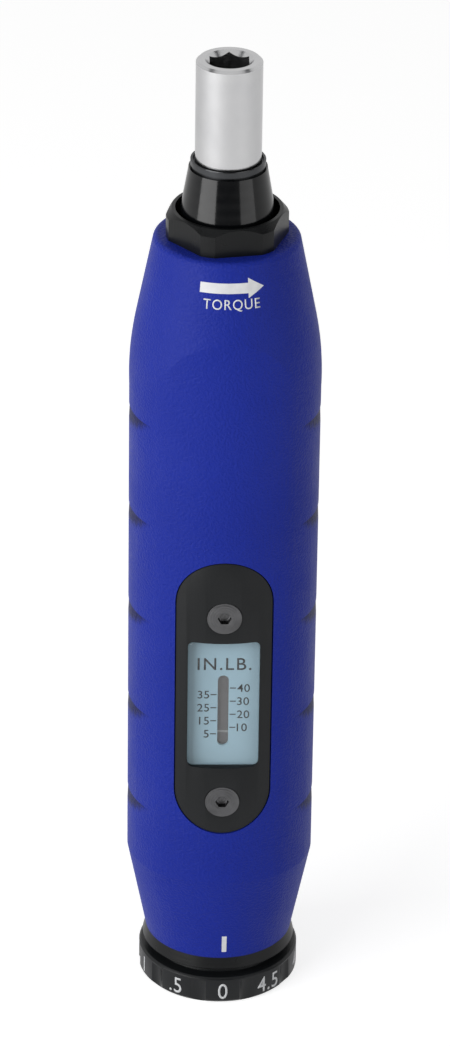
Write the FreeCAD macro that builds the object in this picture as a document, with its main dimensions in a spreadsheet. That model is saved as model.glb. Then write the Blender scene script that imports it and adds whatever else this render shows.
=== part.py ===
import FreeCAD, Part
import math
import os
import Sketcher

# Torque screwdriver, standing on its adjusting knob.  Millimetres, +Z up along the
# tool's axis, -Y is the front with the scale window, z = 0 is the knob's base.

SIZES = [
    # axial stack, from the knob's base upwards
    ("knob_height", 5.1),
    ("knob_gap", 1.4),
    ("collar_height", 2.2),
    ("handle_length", 132.3),
    ("nut_height", 4.75),
    ("cone_height", 7.35),
    ("ring_groove", 0.4),
    ("ring_height", 0.9),
    ("holder_reach", 17.4),
    # handle, outside
    ("handle_base_radius", 12.7),
    ("taper_height", 16.5),
    ("grip_radius", 15.96),
    ("grip_side_radius", 15.37),
    ("grip_half_width", 16.02),
    ("grip_face_radius", 20.7),
    ("grip_half_depth", 14.7),
    ("grip_corner_radius", 9.0),
    ("swell_radius", 16.0),
    ("swell_drop", 25.3),
    ("swell_curve", 55.0),
    ("handle_top_radius", 12.03),
    ("rim_round", 1.0),
    # side notches of the grip
    ("notch_depth", 0.13),
    ("notch_height", 3.2),
    ("notch_pitch", 18.35),
    ("notch_drop", 30.6),
    ("notch_count", 5),
    # handle, inside
    ("bore_radius", 9.8),
    ("nose_bore_radius", 7.6),
    ("nose_bore_depth", 14.0),
    ("spline_width", 3.0),
    ("spline_height", 1.1),
    ("spline_length", 26.0),
    ("spline_drop", 22.5),
    # window in the front of the handle
    ("floor_depth", 11.3),
    ("bezel_width", 16.05),
    ("bezel_height", 52.1),
    ("bezel_level", 61.25),
    ("bezel_gap", 0.2),
    ("bezel_sink", 0.1),
    ("window_width", 12.1),
    ("window_height", 24.2),
    ("window_level", 60.0),
    ("window_corner", 1.0),
    ("plate_margin", 0.5),
    ("plate_thick", 0.6),
    ("plate_slot_width", 1.85),
    ("plate_slot_height", 13.6),
    ("plate_slot_level", 58.05),
    ("lens_thick", 1.7),
    ("lens_flange", 0.8),
    ("window_fit", 0.05),
    ("screw_spacing", 35.6),
    ("screw_level", 59.1),
    ("screw_radius", 1.5),
    ("screw_head_radius", 2.92),
    ("screw_head_depth", 1.5),
    ("screw_length", 4.4),
    ("screw_hex", 2.0),
    ("screw_hex_depth", 1.1),
    # indicator strip and its slot
    ("strip_width", 4.6),
    ("strip_length", 21.0),
    ("strip_level", 54.8),
    ("strip_thick", 1.6),
    ("strip_line_level", 53.55),
    ("strip_line_height", 0.45),
    ("strip_line_depth", 0.12),
    ("strip_gap", 0.3),
    ("spring_travel", 8.89),
    # adjusting knob
    ("knob_radius", 13.8),
    ("knob_hub_radius", 11.5),
    ("knob_hub_gap", 0.2),
    ("knob_edge", 0.6),
    ("knob_bevel", 0.35),
    ("flute_radius", 2.3),
    ("flute_depth", 0.55),
    ("flute_top", 0.6),
    ("click_count", 10),
    ("knob_recess_radius", 3.3),
    ("knob_recess_depth", 2.2),
    ("knob_web", 1.2),
    # rear collar
    ("collar_radius", 13.2),
    ("collar_spigot_length", 8.3),
    ("thread_fit", 0.05),
    ("collar_edge", 0.25),
    ("click_radius", 1.5),
    ("click_circle", 8.0),
    ("click_length", 3.6),
    ("click_nose_radius", 1.0),
    ("click_dimple_radius", 0.9),
    ("click_dimple_depth", 0.4),
    # lead screw
    ("screw_journal_radius", 4.0),
    ("running_fit", 0.05),
    ("screw_spigot_radius", 3.0),
    ("screw_flange_radius", 6.8),
    ("screw_flange_height", 2.5),
    ("washer_thick", 1.0),
    ("lead_screw_length", 47.5),
    ("knob_screw_radius", 1.5),
    ("knob_screw_length", 6.0),
    ("knob_screw_head_radius", 2.75),
    ("knob_screw_head_height", 1.6),
    # spring nut and main spring
    ("nut_clearance", 0.3),
    ("spring_nut_level", 46.0),
    ("spring_nut_height", 8.0),
    ("spring_boss_height", 1.5),
    ("spring_boss_radius", 5.1),
    ("spring_radius", 6.9),
    ("spring_wire", 3.0),
    ("spring_turns", 7),
    # clutch
    ("plunger_height", 21.6),
    ("plunger_well_radius", 5.6),
    ("plunger_well_depth", 14.0),
    ("ball_radius", 2.0),
    ("ball_circle", 5.6),
    ("ball_count", 6),
    ("ball_fit", 0.06),
    ("ball_stand", 0.15),
    ("cam_pocket_depth", 0.9),
    ("cam_flange_radius", 8.4),
    ("cam_flange_height", 5.1),
    ("journal_radius", 6.0),
    ("race_thick", 1.2),
    ("cage_height", 1.15),
    # nose
    ("bush_wall", 0.88),
    ("bush_length", 12.0),
    ("nut_across_flats", 18.6),
    ("nut_corner_radius", 10.1),
    ("nut_turn", 10.0),
    ("nut_bevel_drop", 1.1),
    ("nut_face_radius", 9.15),
    ("nut_bore_radius", 8.58),
    ("nut_floor", 1.0),
    ("nut_spigot_length", 11.0),
    ("cone_gap", 0.4),
    ("cone_top_radius", 6.45),
    ("cone_foot_radius", 8.3),
    ("cone_shaft_grip", 3.6),
    ("ring_radius", 6.17),
    ("ring_neck_radius", 5.95),
    ("ring_seat_radius", 5.8),
    ("ring_seat_depth", 0.5),
    # bit holder
    ("holder_radius", 5.45),
    ("holder_edge", 0.45),
    ("socket_across_flats", 6.4),
    ("socket_turn", 30.0),
    ("socket_depth", 10.0),
    ("socket_mouth_radius", 4.0),
    ("magnet_radius", 2.5),
    ("magnet_length", 5.0),
    ("press_fit", 0.02),
    ("shaft_tip_radius", 2.5),
    ("shaft_tip_length", 3.0),
]

doc = FreeCAD.newDocument("torque_screwdriver")
sheet = doc.addObject("Spreadsheet::Sheet", "sizes")
for row, (alias, number) in enumerate(SIZES, start=1):
    sheet.set(f"A{row}", alias)
    sheet.set(f"B{row}", str(number))
    sheet.setAlias(f"B{row}", alias)
doc.recompute()


class Size:
    """A number together with the sheet formula that gives it."""

    def __init__(self, value, formula):
        self.value = value
        self.formula = formula

    def __add__(self, other):
        other = as_size(other)
        return Size(self.value + other.value, f"({self.formula} + {other.formula})")

    def __sub__(self, other):
        other = as_size(other)
        return Size(self.value - other.value, f"({self.formula} - {other.formula})")

    def __mul__(self, other):
        other = as_size(other)
        return Size(self.value * other.value, f"({self.formula} * {other.formula})")

    def __truediv__(self, other):
        other = as_size(other)
        return Size(self.value / other.value, f"({self.formula} / {other.formula})")

    def __neg__(self):
        return Size(-self.value, f"(0 - {self.formula})")


def as_size(number):
    return number if isinstance(number, Size) else Size(number, f"{number:.9f}")


class Sheet:
    """Each named size of the sheet, as an attribute."""


s = Sheet()
for alias, number in SIZES:
    setattr(s, alias, Size(float(number), f"sizes.{alias}"))

# levels along the axis
zero = Size(0.0, "0")
collar_bottom = s.knob_height + s.knob_gap
handle_bottom = collar_bottom + s.collar_height
handle_top = handle_bottom + s.handle_length
nut_top = handle_top + s.nut_height
cone_top = nut_top + s.cone_height
ring_bottom = cone_top + s.ring_groove
ring_top = ring_bottom + s.ring_height
holder_top = ring_top + s.holder_reach
crease = handle_bottom + s.taper_height
shoulder = handle_top - s.nose_bore_depth
hub_top = collar_bottom - s.knob_hub_gap
# the clutch hangs from the shoulder; the main spring fills what is left below it
cam_top = shoulder - s.race_thick - s.cage_height - s.running_fit
cam_face = cam_top - s.cam_flange_height
ball_centre = cam_face - s.running_fit - s.ball_radius
plunger_top = ball_centre + s.ball_stand
spring_top = plunger_top - s.plunger_height
spring_bottom = s.spring_nut_level + s.spring_nut_height
# centres of the grip's side and face arcs
side_offset = s.grip_half_width - s.grip_side_radius
face_offset = s.grip_face_radius - s.grip_half_depth


# ---------------------------------------------------------------- helpers

def new_body(label):
    body = doc.addObject("PartDesign::Body", label)
    body.Label = label
    return body


def origin_feature(body, role):
    return next(feature for feature in body.Origin.OriginFeatures if feature.Role == role)


def new_sketch(body, name, plane, lift=None):
    """Sketch on one of the body's own origin planes, lifted along the plane's normal."""
    sketch = body.newObject("Sketcher::SketchObject", name)
    sketch.AttachmentSupport = [(origin_feature(body, plane), "")]
    sketch.MapMode = "FlatFace"
    if lift is not None:
        sketch.setExpression("AttachmentOffset.Base.z", lift.formula)
        offset = FreeCAD.Vector(0, 0, lift.value)
        sketch.AttachmentOffset = FreeCAD.Placement(offset, FreeCAD.Rotation())
    return sketch


def bind(sketch, kind, reference, size):
    """Add a dimension to the sketch and bind it to the sheet."""
    index = sketch.addConstraint(Sketcher.Constraint(kind, *reference, size.value))
    sketch.setExpression(f"Constraints[{index}]", size.formula)


def place_point(sketch, geometry, vertex, x, y):
    bind(sketch, "DistanceX", (-1, 1, geometry, vertex), as_size(x))
    bind(sketch, "DistanceY", (-1, 1, geometry, vertex), as_size(y))


def vector(x, y):
    return FreeCAD.Vector(as_size(x).value, as_size(y).value, 0)


def outline(body, name, plane, corners, lift=None):
    """Closed straight-sided sketch whose corners are all dimensioned from the origin."""
    sketch = new_sketch(body, name, plane, lift)
    count = len(corners)
    for index, corner in enumerate(corners):
        following = corners[(index + 1) % count]
        sketch.addGeometry(Part.LineSegment(vector(*corner), vector(*following)), False)
    for index, corner in enumerate(corners):
        previous = (index - 1) % count
        sketch.addConstraint(Sketcher.Constraint("Coincident", previous, 2, index, 1))
        place_point(sketch, index, 1, *corner)
    return sketch


def circles(body, name, plane, discs, lift=None):
    """Sketch of circles, each (x, y, radius)."""
    sketch = new_sketch(body, name, plane, lift)
    for index, (x, y, radius) in enumerate(discs):
        circle = Part.Circle(vector(x, y), FreeCAD.Vector(0, 0, 1), radius.value)
        sketch.addGeometry(circle, False)
        place_point(sketch, index, 3, x, y)
        bind(sketch, "Radius", (index,), radius)
    return sketch


def arc(centre, radius, start, end):
    circle = Part.Circle(vector(*centre), FreeCAD.Vector(0, 0, 1), radius)
    return Part.ArcOfCircle(circle, start, end)


def oval(body, name, plane, width, height, middle, lift=None):
    """Upright slot with full-round ends, centred on the axis at the level middle."""
    sketch = new_sketch(body, name, plane, lift)
    radius = width / 2
    reach = (height - width) / 2
    top = middle + reach
    bottom = middle - reach
    sketch.addGeometry(arc((0, top), radius.value, 0, math.pi), False)
    sketch.addGeometry(Part.LineSegment(vector(-radius, top), vector(-radius, bottom)), False)
    sketch.addGeometry(arc((0, bottom), radius.value, math.pi, 2 * math.pi), False)
    sketch.addGeometry(Part.LineSegment(vector(radius, bottom), vector(radius, top)), False)
    for index in range(4):
        following = (index + 1) % 4
        sketch.addConstraint(Sketcher.Constraint("Tangent", index, 2, following, 1))
    place_point(sketch, 0, 3, 0, top)
    bind(sketch, "DistanceY", (-1, 1, 2, 3), bottom)
    bind(sketch, "Radius", (0,), radius)
    sketch.addConstraint(Sketcher.Constraint("PointOnObject", 2, 3, -2))
    return sketch


def rectangle(body, name, plane, width, height, middle, lift=None):
    half = width / 2
    low = middle - height / 2
    high = middle + height / 2
    corners = [(-half, low), (half, low), (half, high), (-half, high)]
    return outline(body, name, plane, corners, lift)


def feature(body, kind, name, sketch, **settings):
    made = body.newObject(f"PartDesign::{kind}", name)
    made.Profile = sketch
    sketch.Visibility = False
    for key, value in settings.items():
        if isinstance(value, Size):
            setattr(made, key, value.value)
            made.setExpression(key, value.formula)
        else:
            setattr(made, key, value)
    return made


def pad(body, name, sketch, length, reverse=False):
    return feature(body, "Pad", name, sketch, Length=length, Reversed=reverse)


def revolve(body, name, sketch):
    return feature(body, "Revolution", name, sketch,
                   ReferenceAxis=(sketch, ["V_Axis"]), Angle=360)


def checked_cut(body, kind, name, sketch, **settings):
    """A pocket or groove that must take material away."""
    doc.recompute()
    before = body.Shape.Volume
    made = feature(body, kind, name, sketch, **settings)
    doc.recompute()
    if not body.Shape.Volume < before - 1e-6:
        raise RuntimeError(f"{body.Label}: {name} cuts nothing")
    return made


def pocket(body, name, sketch, depth, reverse=False):
    return checked_cut(body, "Pocket", name, sketch, Length=depth, Reversed=reverse)


def groove(body, name, sketch, axis="V_Axis"):
    return checked_cut(body, "Groove", name, sketch, ReferenceAxis=(sketch, [axis]), Angle=360)


def round_pattern(body, name, original, count):
    pattern = body.newObject("PartDesign::PolarPattern", name)
    pattern.Originals = [original]
    pattern.Axis = (origin_feature(body, "Z_Axis"), [""])
    pattern.Angle = 360
    pattern.Occurrences = int(count.value)
    pattern.setExpression("Occurrences", count.formula)
    body.Tip = pattern
    return pattern


def turned(label, corners):
    """Piece turned about the tool's axis from its half section, as (radius, level) corners."""
    body = new_body(label)
    section = outline(body, f"{label}_section", "XZ_Plane", corners)
    revolve(body, f"{label}_turning", section)
    return body


def hexagon(across_flats, turn):
    """Corners of a hexagon; turn is the first corner's angle in degrees from +X."""
    reach = across_flats / (2 * math.cos(math.radians(30)))
    angles = [math.radians(turn + 60 * index) for index in range(6)]
    return [(reach * math.cos(angle), reach * math.sin(angle)) for angle in angles]


def edges_where(shape, test):
    return [f"Edge{index}" for index, edge in enumerate(shape.Edges, start=1) if test(edge)]


# ---------------------------------------------------------------- handle

def grip_angles():
    """Where the grip's arcs meet: the corner arc's centre and the two joint directions."""
    side, face, corner = s.grip_side_radius.value, s.grip_face_radius.value, s.grip_corner_radius.value
    side_x, face_y = side_offset.value, face_offset.value
    # the corner's centre lies on a circle about each neighbour's centre
    from_side, from_face = side - corner, face - corner
    spread = math.hypot(side_x, face_y)
    along = (from_side ** 2 - from_face ** 2 + spread ** 2) / (2 * spread)
    across = math.sqrt(from_side ** 2 - along ** 2)
    corner_x = side_x - along * side_x / spread + across * face_y / spread
    corner_y = -along * face_y / spread - across * side_x / spread
    side_angle = math.atan2(corner_y, corner_x - side_x)
    face_angle = math.atan2(corner_y + face_y, corner_x)
    return corner_x, corner_y, side_angle, face_angle


def grip_section(body, name, level):
    """Two-fold grip outline: round sides, flatter faces and blended corners, all tangent."""
    side, face, corner = s.grip_side_radius, s.grip_face_radius, s.grip_corner_radius
    side_x, face_y = side_offset, face_offset
    corner_x, corner_y, side_angle, face_angle = grip_angles()
    turn = math.pi
    sketch = new_sketch(body, name, "XY_Plane", level)
    arcs = [
        ((side_x, 0), side, -side_angle, side_angle),
        ((corner_x, corner_y), corner, side_angle, face_angle),
        ((0, -face_y), face, face_angle, turn - face_angle),
        ((-corner_x, corner_y), corner, turn - face_angle, turn - side_angle),
        ((-side_x, 0), side, turn - side_angle, turn + side_angle),
        ((-corner_x, -corner_y), corner, turn + side_angle, turn + face_angle),
        ((0, face_y), face, turn + face_angle, 2 * turn - face_angle),
        ((corner_x, -corner_y), corner, 2 * turn - face_angle, 2 * turn - side_angle),
    ]
    for centre, radius, start, end in arcs:
        sketch.addGeometry(arc(centre, radius.value, start, end), False)
    for index in range(8):
        following = (index + 1) % 8
        sketch.addConstraint(Sketcher.Constraint("Tangent", index, 2, following, 1))
    for index, (centre, radius, start, end) in enumerate(arcs):
        bind(sketch, "Radius", (index,), radius)
    for index, offset in ((0, side_x), (4, -side_x)):
        sketch.addConstraint(Sketcher.Constraint("PointOnObject", index, 3, -1))
        bind(sketch, "DistanceX", (-1, 1, index, 3), offset)
    for index, offset in ((2, -face_y), (6, face_y)):
        sketch.addConstraint(Sketcher.Constraint("PointOnObject", index, 3, -2))
        bind(sketch, "DistanceY", (-1, 1, index, 3), offset)
    return sketch


def foot_section(body, name, level):
    """The handle's round foot, cut into arcs that answer to those of the grip section."""
    corner_x, corner_y, side_angle, face_angle = grip_angles()
    side, face = s.grip_side_radius.value, s.grip_face_radius.value
    side_joint_x = side_offset.value + side * math.cos(side_angle)
    face_joint_y = face * math.sin(face_angle) - face_offset.value
    low = math.atan2(side * math.sin(side_angle), side_joint_x)
    high = math.atan2(face_joint_y, face * math.cos(face_angle))
    turn = math.pi
    stops = [-low, low, high, turn - high, turn - low, turn + low, turn + high,
             2 * turn - high, 2 * turn - low]
    radius = s.handle_base_radius
    sketch = new_sketch(body, name, "XY_Plane", level)
    for index in range(8):
        start, end = stops[index], stops[index + 1]
        sketch.addGeometry(arc((0, 0), radius.value, start, end), False)
        sketch.addConstraint(Sketcher.Constraint("Coincident", index, 3, -1, 1))
        place_point(sketch, index, 1, radius * math.cos(start), radius * math.sin(start))
        bind(sketch, "DistanceX", (-1, 1, index, 2), radius * math.cos(end))
    return sketch


def turned_outline(body):
    """What the lathe takes off the grip: outside a cylinder, a swell and a straight nose."""
    sketch = new_sketch(body, "turning_section", "XZ_Plane")
    swell_level = handle_top - s.swell_drop
    centre = (s.swell_radius - s.swell_curve, swell_level)
    outside = s.swell_radius + 3
    low = crease - 3
    nose = (s.handle_top_radius, handle_top)
    # tangent from the nose's corner to the swell's arc
    reach_x = nose[0].value - centre[0].value
    reach_y = nose[1].value - centre[1].value
    distance = math.hypot(reach_x, reach_y)
    tangent = math.atan2(reach_y, reach_x) - math.acos(s.swell_curve.value / distance)
    sink = s.grip_radius.value - centre[0].value
    start = -math.acos(sink / s.swell_curve.value)
    curve = arc(centre, s.swell_curve.value, start, tangent)
    first, last = curve.StartPoint, curve.EndPoint
    low_point = vector(s.grip_radius, low)
    sketch.addGeometry(Part.LineSegment(low_point, first), False)
    sketch.addGeometry(curve, False)
    sketch.addGeometry(Part.LineSegment(last, vector(*nose)), False)
    sketch.addGeometry(Part.LineSegment(vector(*nose), vector(outside, handle_top)), False)
    sketch.addGeometry(Part.LineSegment(vector(outside, handle_top), vector(outside, low)), False)
    sketch.addGeometry(Part.LineSegment(vector(outside, low), low_point), False)
    join = Sketcher.Constraint
    sketch.addConstraint(join("Coincident", 0, 2, 1, 1))
    sketch.addConstraint(join("Tangent", 1, 2, 2, 1))
    for index in (2, 3, 4, 5):
        sketch.addConstraint(join("Coincident", index, 2, (index + 1) % 6, 1))
    place_point(sketch, 1, 3, *centre)
    bind(sketch, "Radius", (1,), s.swell_curve)
    place_point(sketch, 2, 2, *nose)
    place_point(sketch, 4, 1, outside, handle_top)
    place_point(sketch, 4, 2, outside, low)
    place_point(sketch, 0, 1, s.grip_radius, low)
    sketch.addConstraint(join("Vertical", 0))
    return sketch


def notches(body):
    """Shallow scallops: a small step under an edge, then a ramp back out to the surface."""
    top = handle_top - s.notch_drop
    root = s.grip_radius - s.notch_depth
    outside = s.grip_radius + s.notch_depth
    bottom = top - s.notch_height * 2
    corners = [(root, top), (outside, top), (outside, bottom)]
    section = outline(body, "notch_section", "XZ_Plane", corners)
    notch = groove(body, "notch", section)
    pattern = body.newObject("PartDesign::LinearPattern", "notch_row")
    pattern.Originals = [notch]
    pattern.Direction = (origin_feature(body, "Z_Axis"), [""])
    pattern.Reversed = True
    length = s.notch_pitch * (s.notch_count - 1)
    pattern.Length = length.value
    pattern.setExpression("Length", length.formula)
    pattern.Occurrences = int(s.notch_count.value)
    pattern.setExpression("Occurrences", s.notch_count.formula)
    body.Tip = pattern


def is_rim(edge, level, radius):
    box = edge.BoundBox
    flat = abs(box.ZMin - level.value) < 1e-4 and abs(box.ZMax - level.value) < 1e-4
    return flat and abs(box.XMax - radius.value) < 1e-3


def round_edges(body, name, kind, test, size):
    """Fillet or chamfer on the edges that pass the test."""
    doc.recompute()
    base = body.Tip
    chosen = edges_where(body.Shape, test)
    made = body.newObject(f"PartDesign::{kind}", name)
    made.Base = (base, chosen)
    prop = "Radius" if kind == "Fillet" else "Size"
    setattr(made, prop, size.value)
    made.setExpression(prop, size.formula)
    return made


def screw_levels():
    half = s.screw_spacing / 2
    return s.screw_level - half, s.screw_level + half


def make_handle():
    body = new_body("handle_body")
    pad(body, "grip", grip_section(body, "grip_outline", crease), handle_top - crease)
    foot = foot_section(body, "foot_outline", handle_bottom)
    waist = grip_section(body, "waist_outline", crease)
    taper = feature(body, "AdditiveLoft", "taper", foot, Ruled=True)
    taper.Sections = [(waist, [""])]
    groove(body, "turning", turned_outline(body))
    notches(body)
    round_edges(body, "rim", "Fillet",
                lambda edge: is_rim(edge, handle_top, s.handle_top_radius), s.rim_round)

    bore = [(0, handle_bottom), (s.bore_radius, handle_bottom), (s.bore_radius, shoulder),
            (s.nose_bore_radius, shoulder), (s.nose_bore_radius, handle_top), (0, handle_top)]
    groove(body, "bore", outline(body, "bore_section", "XZ_Plane", bore))

    # two splines in the bore that keep the sliding clutch plate from turning
    spline_bottom = handle_top - s.spline_drop - s.spline_length
    half = s.spline_width / 2
    root = s.bore_radius + s.running_fit
    tip = s.bore_radius - s.spline_height
    for side, name in ((1, "right_spline"), (-1, "left_spline")):
        corners = [(root * side, -half), (tip * side, -half), (tip * side, half), (root * side, half)]
        sketch = outline(body, f"{name}_outline", "XY_Plane", corners, spline_bottom)
        pad(body, name, sketch, s.spline_length)

    # recess for the window frame, the indicator's slot in its floor and two screw holes
    recess = oval(body, "recess_outline", "XZ_Plane", s.bezel_width + s.bezel_gap * 2,
                  s.bezel_height + s.bezel_gap * 2, s.bezel_level, s.floor_depth)
    pocket(body, "recess", recess, s.grip_radius - s.floor_depth, reverse=True)
    slot_length = s.strip_length + s.spring_travel + s.strip_gap * 2
    slot_middle = s.strip_level + s.spring_travel / 2
    slot = rectangle(body, "slot_outline", "XZ_Plane", s.strip_width + s.running_fit * 4,
                     slot_length, slot_middle, s.floor_depth)
    wall = s.floor_depth - s.bore_radius / 2
    pocket(body, "indicator_slot", slot, wall)
    low, high = screw_levels()
    hole = s.screw_radius + s.thread_fit
    holes = circles(body, "screw_outline", "XZ_Plane", [(0, low, hole), (0, high, hole)],
                    s.floor_depth)
    pocket(body, "screw_holes", holes, wall)
    return body


# ---------------------------------------------------------------- window

def make_scale_plate():
    body = new_body("scale_plate")
    width = s.window_width + s.plate_margin * 2
    height = s.window_height + s.plate_margin * 2
    sheet_outline = rectangle(body, "plate_outline", "XZ_Plane", width, height, s.window_level,
                              s.floor_depth)
    pad(body, "plate", sheet_outline, s.plate_thick)
    slot = oval(body, "plate_slot_outline", "XZ_Plane", s.plate_slot_width,
                s.plate_slot_height, s.plate_slot_level, s.floor_depth)
    pocket(body, "plate_slot", slot, s.plate_thick, reverse=True)
    return body


def make_lens():
    body = new_body("window_lens")
    width = s.window_width + s.plate_margin * 2
    height = s.window_height + s.plate_margin * 2
    back = s.floor_depth + s.plate_thick
    flange = rectangle(body, "flange_outline", "XZ_Plane", width, height, s.window_level, back)
    pad(body, "flange", flange, s.lens_flange)
    pane_width = s.window_width - s.window_fit * 2
    pane_height = s.window_height - s.window_fit * 2
    pane = rectangle(body, "pane_outline", "XZ_Plane", pane_width, pane_height, s.window_level, back)
    pad(body, "pane", pane, s.lens_thick)
    half = pane_width / 2
    low = s.window_level - pane_height / 2
    high = s.window_level + pane_height / 2
    round_edges(body, "pane_corners", "Fillet",
                lambda edge: is_deep_edge(edge, half, low, high, s.lens_thick - s.lens_flange),
                s.window_corner - s.window_fit)
    front = s.floor_depth + s.plate_thick + s.lens_thick
    round_edges(body, "pane_bevel", "Chamfer",
                lambda edge: is_in_front(edge, front), s.window_fit * 6)
    return body


def is_deep_edge(edge, half, low, high, depth):
    """Straight edge along Y at a corner of the pane."""
    box = edge.BoundBox
    corner_x = abs(abs(box.XMax) - half.value) < 1e-4 and box.XLength < 1e-4
    corner_z = min(abs(box.ZMax - low.value), abs(box.ZMax - high.value)) < 1e-4
    return corner_x and corner_z and abs(box.YLength - depth.value) < 1e-4


def is_in_front(edge, depth):
    box = edge.BoundBox
    return abs(box.YMin + depth.value) < 1e-4 and box.YLength < 1e-4


def make_bezel():
    body = new_body("window_bezel")
    plan = oval(body, "bezel_outline", "XZ_Plane", s.bezel_width, s.bezel_height,
                s.bezel_level, s.floor_depth)
    pad(body, "plate_stock", plan, s.grip_radius - s.floor_depth)
    crown(body)
    back_width = s.window_width + (s.plate_margin + s.window_fit) * 2
    back_height = s.window_height + (s.plate_margin + s.window_fit) * 2
    back = rectangle(body, "back_outline", "XZ_Plane", back_width, back_height,
                     s.window_level, s.floor_depth)
    back_depth = s.plate_thick + s.lens_flange + s.window_fit
    pocket(body, "back_recess", back, back_depth, reverse=True)
    window = rectangle(body, "window_outline", "XZ_Plane", s.window_width, s.window_height,
                       s.window_level, s.floor_depth)
    pocket(body, "window", window, s.grip_radius - s.floor_depth, reverse=True)
    half = s.window_width / 2
    low = s.window_level - s.window_height / 2
    high = s.window_level + s.window_height / 2
    round_edges(body, "window_corners", "Fillet",
                lambda edge: is_window_corner(edge, half, low, high), s.window_corner)
    for level, name in zip(screw_levels(), ("lower", "upper")):
        countersink(body, name, level)
    return body


def is_window_corner(edge, half, low, high):
    box = edge.BoundBox
    corner_x = abs(abs(box.XMax) - half.value) < 1e-4 and box.XLength < 1e-4
    corner_z = min(abs(box.ZMax - low.value), abs(box.ZMax - high.value)) < 1e-4
    return corner_x and corner_z and box.YLength > 1e-3


def crown(body):
    """Cut the frame's front to the curve of the grip's face."""
    sketch = new_sketch(body, "crown_outline", "XY_Plane")
    radius = s.grip_face_radius - s.bezel_sink
    centre_y = face_offset
    half = s.bezel_width / 2 + 1
    edge_y = centre_y.value - math.sqrt(radius.value ** 2 - half.value ** 2)
    front = -(s.grip_radius + 1)
    angle = math.atan2(edge_y - centre_y.value, half.value)
    curve = arc((0, centre_y), radius.value, -math.pi - angle, angle)
    sketch.addGeometry(curve, False)
    sketch.addGeometry(Part.LineSegment(vector(half, edge_y), vector(half, front)), False)
    sketch.addGeometry(Part.LineSegment(vector(half, front), vector(-half, front)), False)
    sketch.addGeometry(Part.LineSegment(vector(-half, front), vector(-half, edge_y)), False)
    for index in range(4):
        vertex = 2
        sketch.addConstraint(Sketcher.Constraint("Coincident", index, vertex, (index + 1) % 4, 1))
    place_point(sketch, 0, 3, 0, centre_y)
    bind(sketch, "Radius", (0,), radius)
    place_point(sketch, 2, 1, half, front)
    place_point(sketch, 2, 2, -half, front)
    sketch.addConstraint(Sketcher.Constraint("Vertical", 1))
    sketch.addConstraint(Sketcher.Constraint("Vertical", 3))
    checked_cut(body, "Pocket", "crown", sketch, Type="ThroughAll", Reversed=True)


def face_depth():
    """How far in front of the axis the window frame's crown lies."""
    return s.grip_half_depth - s.bezel_sink


def countersink(body, name, level):
    """Countersunk screw hole through the frame, turned about the screw's own axis."""
    front = -face_depth()
    outside = -(s.grip_radius + 1)
    head = s.screw_head_radius + s.thread_fit
    hole = s.screw_radius + s.thread_fit
    rim = front + s.thread_fit * 4
    seat = front + s.screw_head_depth
    back = -s.floor_depth + 1
    corners = [(outside, level), (outside, level + head), (rim, level + head),
               (seat, level + hole), (back, level + hole), (back, level)]
    section = outline(body, f"{name}_seat_section", "YZ_Plane", corners)
    axis = section.addGeometry(Part.LineSegment(vector(outside, level), vector(back, level)), True)
    section.addConstraint(Sketcher.Constraint("Coincident", axis, 1, 0, 1))
    section.addConstraint(Sketcher.Constraint("Coincident", axis, 2, len(corners) - 1, 1))
    groove(body, f"{name}_seat", section, "Axis0")


def make_bezel_screws():
    """Two flat-head screws as one group of separate solids."""
    low, high = screw_levels()
    body = new_body("bezel_screw_lower")
    front = -face_depth()
    seat = front + s.screw_head_depth
    rim = front + s.thread_fit * 4
    tip = front + s.screw_length
    head, shank = s.screw_head_radius, s.screw_radius
    corners = [(front, low), (front, low + head), (rim, low + head), (seat, low + shank),
               (tip, low + shank), (tip, low)]
    section = outline(body, "screw_section", "YZ_Plane", corners)
    axis = section.addGeometry(Part.LineSegment(vector(front, low), vector(tip, low)), True)
    section.addConstraint(Sketcher.Constraint("Coincident", axis, 1, 0, 1))
    section.addConstraint(Sketcher.Constraint("Coincident", axis, 2, len(corners) - 1, 1))
    feature(body, "Revolution", "screw_turning", section,
            ReferenceAxis=(section, ["Axis0"]), Angle=360)
    key = [(x, low + z) for x, z in hexagon(s.screw_hex, 0)]
    drive = outline(body, "drive_outline", "XZ_Plane", key, face_depth())
    pocket(body, "drive", drive, s.screw_hex_depth)
    mirror = doc.addObject("Part::Mirroring", "bezel_screw_upper")
    mirror.Source = body
    mirror.Normal = FreeCAD.Vector(0, 0, 1)
    mirror.Base = FreeCAD.Vector(0, 0, s.screw_level.value)
    mirror.setExpression("Base.z", s.screw_level.formula)
    group = doc.addObject("Part::Compound", "bezel_screws")
    group.Links = [body, mirror]
    return group


# ---------------------------------------------------------------- rear end

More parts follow.
